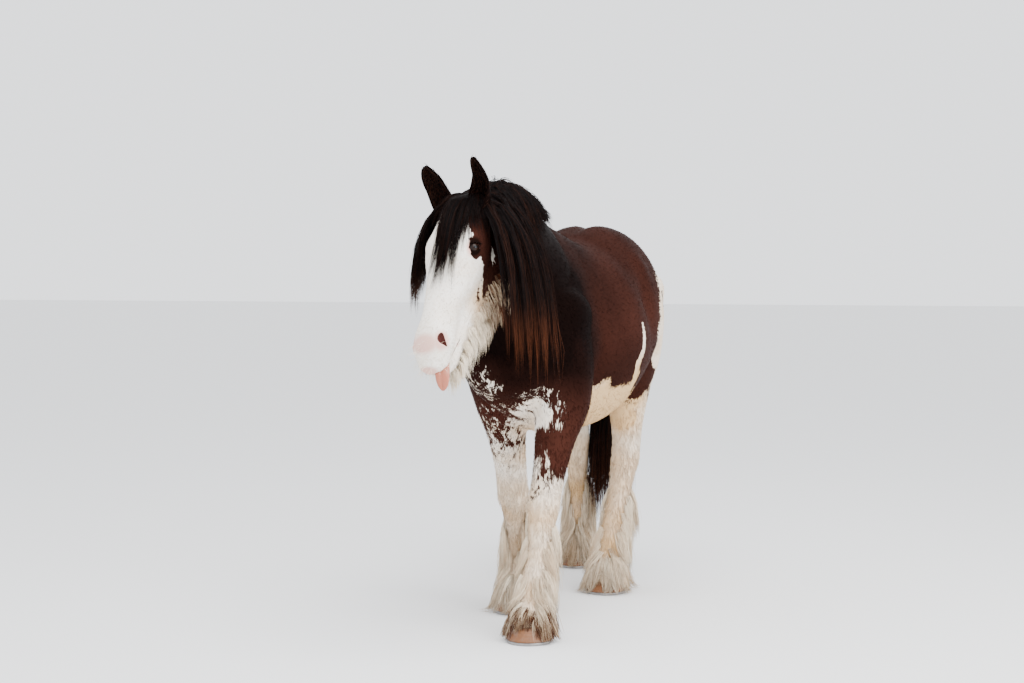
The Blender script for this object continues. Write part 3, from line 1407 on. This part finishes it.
def roots_on_skin(count):
    """Places spread over the skin, with the skin's normal at each."""
    skin.data.calc_loop_triangles()
    corners = np.empty(len(skin.data.loop_triangles) * 3, np.int32)
    skin.data.loop_triangles.foreach_get("vertices", corners)
    points, normals = points_of(skin.data) - np.array(SHIFT), normals_of(skin.data)
    three = points[corners.reshape(-1, 3)]
    area = np.linalg.norm(np.cross(three[:, 1] - three[:, 0], three[:, 2] - three[:, 0]), axis=1)
    middle = three.mean(axis=1)
    leg = np.clip((0.95 - middle[:, 2]) / 0.4, 0, 1)
    face = head_share(in_head(middle))
    weight = area * (1.0 + 1.6 * leg + 1.2 * face) * (middle[:, 2] > 0.10)
    chosen = dice.choice(len(three), count, p=weight / weight.sum())
    share = dice.dirichlet((1.0, 1.0, 1.0), count)
    roots = (three[chosen] * share[..., None]).sum(axis=1)
    raised = unit((normals[corners.reshape(-1, 3)[chosen]] * share[..., None]).sum(axis=1))
    return roots, raised


def lie_of(points):
    """The way the hair lies: back and down on the trunk, down on the legs, down the face."""
    local = in_head(points)
    leg = np.clip((1.00 - points[:, 2]) / 0.2, 0, 1)[:, None]
    neck = np.clip((-0.55 - points[:, 1]) / 0.3, 0, 1)[:, None]
    way = np.array([0.0, 0.85, -0.50]) * (1 - neck) + np.array([0.0, 0.45, -0.90]) * neck
    way = way * (1 - leg) + np.array([0.0, 0.15, -1.0]) * leg
    face = head_share(local)[:, None]
    down = np.array(head_direction(0.0, 0.25, -1.0))
    return way * (1 - face) + down * face


def tuft_lengths(points):
    local = in_head(points)
    face = head_share(local)
    low = np.clip((0.80 - points[:, 2]) / 0.35, 0, 1)
    jaw = np.clip((local[:, 1] - 0.06) / 0.05, 0, 1) * face
    belly = np.clip((0.90 - points[:, 2]) / 0.1, 0, 1) * (np.abs(points[:, 1] - 0.1) < 0.5)
    return 0.015 - 0.007 * face + 0.016 * low + 0.014 * jaw + 0.008 * belly


def short_coat():
    roots, raised = roots_on_skin(COAT_TUFTS)
    fields = fields_of(roots)
    kept = fields["bare"] < 0.25
    roots, raised = roots[kept], raised[kept]
    fields = {name: values[kept] for name, values in fields.items()}
    jitter = dice.normal(0.0, 0.18, roots.shape)
    lie = lie_of(roots) + jitter
    lie = unit(lie - raised * (lie * raised).sum(axis=1, keepdims=True))
    length = (tuft_lengths(roots) * dice.uniform(0.7, 1.25, len(roots)))[:, None]
    start = roots - raised * 0.001
    middle = roots + lie * length * 0.5 + raised * (length * 0.12)
    tip = roots + lie * length + raised * (length * 0.13)
    paths = np.stack([start, middle, tip], axis=1)
    normals = np.repeat(raised[:, None], 3, axis=1)
    trunk = (roots[:, 2] > 0.95) & (in_head(roots)[:, 1] > 0.15)
    radius = (0.0013 + 0.0006 * dice.random(len(roots))) * np.where(trunk, 0.5, 1.0)
    for i in range(0, len(roots), TUFTS_A_PIECE):
        part = slice(i, i + TUFTS_A_PIECE)
        values = {name: field[part] for name, field in fields.items()}
        name = "short_coat_%d" % (i // TUFTS_A_PIECE + 1)
        piece = strand_mesh(name, paths[part], normals[part], radius[part], values, 0.4)
        piece.data.materials.append(coat_material)
        ready(piece)
    print("short coat", len(roots), "tufts")


short_coat()

# %% [markdown]
# Each eye is a ball with a slightly raised cornea. Its iris is brown, its pupil a dark oval that lies
# along the opening, and a clear coat makes it wet.

# %% Eyes
IRIS_RADIUS = 0.0165
PUPIL = (0.0095, 0.0052)
CORNEA_RISE = 0.0016
LASHES = 46


def eye_finish():
    finish = Finish("eye", roughness=0.18)
    iris = finish.attribute("iris")
    fibre = finish.noise(finish.place(), 600.0, 2.0)
    brown = finish.colour(fibre, (0.006, 0.0025, 0.0015), (0.018, 0.007, 0.003))
    rim = finish.colour(iris.step(0.80, 1.00), brown, (0.010, 0.006, 0.005))
    white = finish.colour(iris.step(1.15, 1.60), rim, (0.10, 0.06, 0.05))
    open_part = finish.attribute("pupil").step(0.9, 1.1)
    finish.set("Base Color", finish.colour(open_part, (0.002, 0.002, 0.003), white))
    finish.set("Specular IOR Level", 0.15)
    finish.set("Coat Weight", 0.08)
    finish.set("Coat Roughness", 0.02)
    return finish.material


eye_material = eye_finish()


def eye(side, name):
    form = bmesh.new()
    bmesh.ops.create_uvsphere(form, u_segments=64, v_segments=48, radius=EYE_RADIUS)
    for vert in form.verts:
        across = math.hypot(vert.co.x, vert.co.y) / IRIS_RADIUS
        if vert.co.z > 0 and across < 1.0:
            vert.co.z += CORNEA_RISE * (1.0 - across**2)
    obj = mesh_object(form, name + "_ball")
    points = points_of(obj.data)
    front = np.where(points[:, 2] > 0, 1.0, 5.0)
    store(obj.data, "iris", np.hypot(points[:, 0], points[:, 1]) / IRIS_RADIUS * front)
    store(obj.data, "pupil", np.hypot(points[:, 0] / PUPIL[0], points[:, 1] / PUPIL[1]) * front)
    obj.data.transform(eye_frame(side))
    obj.data.materials.append(eye_material)
    obj.data.shade_smooth()
    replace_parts(ready(obj), name)


eye(1, "eye_left")
eye(-1, "eye_right")


def lashes(side, name):
    """A row of short dark lashes on the upper lid."""
    frame_of_eye = np.array(eye_frame(side))
    paths, normals = [], []
    for _ in range(LASHES):
        t = dice.uniform(-0.8, 0.9)
        lid = np.array([t * 0.024, 0.0150 * math.sqrt(1 - t * t), 0.0215])
        out = unit(np.array([t * 0.5 + dice.normal(0, 0.1), 0.25, 1.0]))
        droop = np.array([0.0, -0.5, 0.1])
        length = dice.uniform(0.012, 0.020)
        steps = [lid, lid + out * length * 0.5, lid + out * length * 0.9 + droop * length * 0.3]
        local = np.array(steps) @ frame_of_eye[:3, :3].T + frame_of_eye[:3, 3]
        paths.append(local)
        normals.append(np.tile(frame_of_eye[:3, 1], (3, 1)))
    fields = {"warm": np.zeros(len(paths)), "pale": np.zeros(len(paths))}
    obj = strand_mesh(name, np.array(paths), np.array(normals), np.full(len(paths), 0.0004), fields)
    obj.data.materials.append(long_hair)
    ready(obj)


lashes(1, "lashes_left")
lashes(-1, "lashes_right")

# %% [markdown]
# The ears are cupped sheets with some thickness: wrapped almost round at the root and open to a pointed
# tip. Fine hair follows them to the tip, longer inside the opening.

# %% Ears
EAR_LENGTH = 0.205
EAR_WIDTH = 0.042
EAR_THICKNESS = 0.0045
EAR_PLACE = Vector((0.082, 0.002, 0.004))
EAR_SPREAD = 32.0
EAR_PITCH = 52.0
EAR_TURN = 10.0
EAR_HAIRS = 2200


def ear_spot(across, t):
    """A place on the sheet, across from -1 to 1 and up from 0 to 1."""
    wrap = math.radians(150 - 95 * min(t * 1.6, 1.0))
    swell = 0.70 + 0.30 * math.sin(math.pi * min(t * 0.8 + 0.15, 1.0))
    half = EAR_WIDTH * swell * math.sqrt(max(1.0 - t**6, 0.0)) + 0.0015
    radius = half / math.sin(min(wrap, math.pi / 2))
    x = radius * math.sin(wrap * across)
    y = -radius * (1 - math.cos(wrap * across)) + 0.020 * math.sin(math.pi * t)
    z = EAR_LENGTH * (t - 0.10) - 0.010 * across**2 * (1 - t)
    return x - 0.025 * t**3 + 0.004, y, z


def ear_matrix(side):
    lean = Matrix.Rotation(math.radians(EAR_SPREAD), 4, "Y")
    pitch = Matrix.Rotation(math.radians(EAR_PITCH), 4, "X")
    turn = Matrix.Rotation(math.radians(EAR_TURN), 4, "Z")
    mirror = Matrix.Diagonal((side, 1.0, 1.0, 1.0))
    return head_matrix() @ mirror @ Matrix.Translation(EAR_PLACE) @ lean @ pitch @ turn


def ear(side, name):
    form = bmesh.new()
    bmesh.ops.create_grid(form, x_segments=28, y_segments=36, size=1.0)
    for vert in form.verts:
        vert.co = ear_spot(vert.co.x, (vert.co.y + 1) / 2)
    bmesh.ops.recalc_face_normals(form, faces=form.faces)
    bmesh.ops.solidify(form, geom=form.faces[:], thickness=EAR_THICKNESS)
    form.transform(ear_matrix(side))
    obj = mesh_object(outward(form), name + "_shell")
    obj.data.shade_smooth()
    obj.data.materials.append(coat_material)
    all_black(obj.data)
    matrix = np.array(ear_matrix(side))
    paths, normals = [], []
    for _ in range(EAR_HAIRS):
        across, t = dice.uniform(-1.0, 1.0), dice.uniform(0.0, 0.97)
        spot = np.array(ear_spot(across, t))
        further = np.array(ear_spot(across * 0.96, t + 0.02))
        right, left = ear_spot(min(across + 0.02, 1.0), t), ear_spot(max(across - 0.02, -1.0), t)
        beside = np.array(right) - np.array(left)
        way = unit(further - spot)
        out = unit(np.cross(beside, way)) * (1 if dice.random() < 0.7 else -1)
        edge = abs(across) > 0.85
        length = dice.uniform(0.008, 0.016) * (1.7 if edge else 1.0)
        away = 0.35 if edge else 0.2
        base = spot + out * EAR_THICKNESS * 0.4
        half_way = base + (way + out * away) * length / 2
        steps = np.array([base, half_way, base + (way * 1.1 + out * away) * length])
        paths.append(steps @ matrix[:3, :3].T + matrix[:3, 3])
        normals.append(np.tile(out @ matrix[:3, :3].T, (3, 1)))
    count = len(paths)
    fields = {"warm": np.full(count, 0.1), "pale": np.zeros(count)}
    radius = np.full(count, 0.0011)
    fur = strand_mesh(name + "_fur", np.array(paths), np.array(normals), radius, fields, 0.5)
    fur.data.materials.append(long_hair)
    ready(fur)
    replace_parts(ready(obj), name)


ear(1, "ear_left")
ear(-1, "ear_right")

# %% Tongue
# x, y, z in the head's frame, half width, half thickness in front and behind, power
TONGUE = [
    (0.016, 0.034, -0.600, 0.008, 0.004, 0.004, 2.2),
    (0.024, 0.024, -0.635, 0.021, 0.008, 0.008, 2.3),
    (0.034, 0.012, -0.670, 0.027, 0.008, 0.009, 2.4),
    (0.043, 0.010, -0.702, 0.028, 0.008, 0.008, 2.4),
    (0.046, 0.018, -0.732, 0.024, 0.007, 0.007, 2.3),
    (0.046, 0.026, -0.752, 0.015, 0.006, 0.005, 2.2),
    (0.046, 0.029, -0.762, 0.005, 0.003, 0.003, 2.0),
]


def tongue():
    """A wet tongue with a groove down its middle."""
    rows = [(*head_point(x, y, z), *rest) for x, y, z, *rest in TONGUE]
    front = head_direction(0.35, -0.94, 0.0)
    obj = mesh_object(swept(rows, front, along=48, around=48), "tongue_flesh")
    points, normals = points_of(obj.data), normals_of(obj.data)
    local = in_head(points)
    line = np.array([row[:3] for row in TONGUE])[::-1]
    across = local[:, 0] - np.interp(local[:, 2], line[:, 2], line[:, 0])
    facing = np.clip(normals @ np.array(front), 0, 1)
    moved_to(obj.data, points - normals * (0.0035 * np.exp(-(across / 0.0045) ** 2) * facing)[:, None])
    finish = Finish("tongue", roughness=0.30)
    grain = finish.noise(finish.place(), 700.0, 2.0)
    finish.set("Base Color", finish.colour(grain, (0.30, 0.075, 0.034), (0.44, 0.150, 0.082)))
    finish.bump(grain, 0.0006)
    finish.set("Coat Weight", 0.5)
    finish.set("Subsurface Weight", 0.15)
    obj.data.materials.append(finish.material)
    obj.data.shade_smooth()
    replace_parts(ready(obj), "tongue")


tongue()

# %% [markdown]
# A hoof is an oval cone of horn that leans forwards. Growth rings run round it parallel to the slanted
# coronet. A flat iron shoe with rounded edges lies under it, open at the heels.

# %% Hooves and shoes
SHOE_WIDTH = 0.027
SHOE_START = 52.0


def hoof_finish():
    finish = Finish("horn", roughness=0.5)
    height = finish.height()
    fibre = finish.noise(finish.place((160.0, 160.0, 12.0)), 1.0, 3.0)
    stain = finish.noise(finish.place(), 26.0, 3.0)
    horn = finish.colour(fibre, (0.085, 0.030, 0.009), (0.24, 0.090, 0.026))
    worn = (stain + height * 3.0).step(0.55, 0.85)
    finish.set("Base Color", finish.colour(worn, horn, (0.17, 0.10, 0.065)))
    finish.bump(fibre, 0.0008)
    return finish.material


def iron_finish():
    finish = Finish("iron", roughness=0.45)
    wear = finish.noise(finish.place(), 60.0, 4.0)
    finish.set("Metallic", 0.9)
    finish.set("Base Color", finish.colour(wear, (0.16, 0.15, 0.15), (0.42, 0.41, 0.40)))
    finish.set("Roughness", 0.3 + 0.35 * wear)
    return finish.material


horn, iron = hoof_finish(), iron_finish()


def hoof_centre(name):
    x, y, _ = LEG_JOINTS[name][-1]
    return Vector((x, y - HOOF_BEHIND, 0.0))


def hoof(name):
    centre = hoof_centre(name)
    form = bmesh.new()
    bmesh.ops.create_grid(form, x_segments=72, y_segments=26, size=1.0)
    for vert in form.verts:
        turn, t = math.pi * vert.co.x, (vert.co.y + 1) / 2
        ring = 0.0007 * math.sin(46.0 * t) * (1 - t) * t * 4
        radius = HOOF_RADIUS * (1 - t) + CORONET_RADIUS * t + ring - 0.003 * max(0.0, 1 - t / 0.05) ** 2
        x = centre.x + radius * math.sin(turn) * HOOF_OVAL[0]
        y = centre.y + radius * math.cos(turn) * HOOF_OVAL[1] - SOLE_BEHIND + 0.020 * t
        top = CORONET_HEIGHT + CORONET_FALL * (centre.y - y)
        vert.co = (x, y, (SHOE_THICKNESS + 0.0005) * (1 - t) + top * t)
    bmesh.ops.remove_doubles(form, verts=form.verts, dist=0.00001)
    bmesh.ops.holes_fill(form, edges=form.edges, sides=0)
    obj = mesh_object(outward(form), name + "_horn")
    obj.data.shade_smooth()
    obj.data.set_sharp_from_angle(angle=math.radians(50))
    obj.data.materials.append(horn)
    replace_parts(ready(obj), name + "_hoof")


def shoe(name):
    centre = hoof_centre(name) + Vector((0.0, -SOLE_BEHIND, 0.0))
    outer = HOOF_RADIUS + 0.0005
    inner = outer - SHOE_WIDTH
    form = bmesh.new()
    corners = ((outer, 0.0), (outer, SHOE_THICKNESS), (inner, SHOE_THICKNESS), (inner, 0.0))
    face = form.faces.new([form.verts.new((r, 0.0, z)) for r, z in corners])
    form.transform(Matrix.Rotation(math.radians(SHOE_START), 4, "Z"))
    copy = bmesh.ops.duplicate(form, geom=[face, *face.edges, *face.verts])["geom"]
    sections = [item for item in copy if isinstance(item, bmesh.types.BMFace)]
    sweep = {"cent": (0, 0, 0), "axis": (0, 0, 1), "angle": math.radians(-180 - 2 * SHOE_START)}
    bmesh.ops.spin(form, geom=sections, steps=48, **sweep)
    bmesh.ops.remove_doubles(form, verts=form.verts, dist=0.00001)
    outward(form)
    sharp = [edge for edge in form.edges if edge.is_manifold and edge.calc_face_angle() > 0.8]
    bmesh.ops.bevel(form, geom=sharp, offset=0.0012, affect="EDGES", segments=2, profile=0.5, material=-1)
    for vert in form.verts:
        across, along = vert.co.x * HOOF_OVAL[0], vert.co.y * HOOF_OVAL[1]
        vert.co = (centre.x + across, centre.y + along, vert.co.z)
    obj = mesh_object(form, name + "_iron")
    obj.data.shade_smooth()
    obj.data.set_sharp_from_angle(angle=math.radians(40))
    obj.data.materials.append(iron)
    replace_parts(ready(obj), name + "_shoe")


for leg in LEG_JOINTS:
    hoof(leg)
    shoe(leg)

# %% [markdown]
# White whiskers stand out of the muzzle and the chin, each thin and slightly bent.

# %% Whiskers
WHISKERS = 150


def whiskers():
    paths, normals = [], []
    for _ in range(WHISKERS):
        turn = dice.uniform(-2.6, 2.6)
        middle = Vector(head_point(0.0, 0.010, dice.uniform(-0.690, -0.580)))
        way = head_direction(math.sin(turn), -math.cos(turn), dice.uniform(-0.7, 0.1))
        root, normal, _, _ = skin_tree.ray_cast(middle, way)
        if root is None:
            continue
        length = dice.uniform(0.015, 0.045)
        out = (normal + Vector(dice.normal(0.0, 0.25, 3))).normalized()
        bend = Vector((0.0, 0.0, -0.4 * length))
        paths.append([root, root + out * length * 0.5 + bend * 0.3, root + out * length + bend])
        normals.append([head_direction(1.0, 0.3, 0.0)] * 3)
    fields = {"warm": np.full(len(paths), 0.1), "pale": np.ones(len(paths))}
    radius = np.full(len(paths), 0.00045)
    obj = strand_mesh("whiskers", np.array(paths), np.array(normals), radius, fields)
    obj.data.materials.append(long_hair)
    ready(obj)


whiskers()

# %% [markdown]
# The stage is a pale floor under a bright, even sky, with two broad soft lamps for shape.

# %% Floor and light
def stage_floor():
    form = bmesh.new()
    bmesh.ops.create_grid(form, x_segments=1, y_segments=1, size=60.0)
    floor = mesh_object(form, "floor")
    floor.location.z = -0.0005
    finish = Finish("floor", roughness=0.9)
    finish.set("Base Color", (0.80, 0.80, 0.80, 1.0))
    floor.data.materials.append(finish.material)


def lamp(name, place, size, power):
    data = bpy.data.lights.new(name, "AREA")
    data.size = size
    data.energy = power
    light = linked(name, data)
    light.location = place
    light.rotation_euler = (Vector((0.0, -0.2, 1.0)) - Vector(place)).to_track_quat("-Z", "Y").to_euler()


stage_floor()
lamp("high soft lamp", (1.5, -3.0, 6.0), 5.0, 600.0)
lamp("side soft lamp", (6.0, -4.0, 3.0), 4.0, 380.0)
world = bpy.data.worlds.new("pale sky")
world.use_nodes = True
world.node_tree.nodes["Background"].inputs["Color"].default_value = (0.92, 0.94, 0.97, 1.0)
world.node_tree.nodes["Background"].inputs["Strength"].default_value = 2.1
bpy.context.scene.world = world
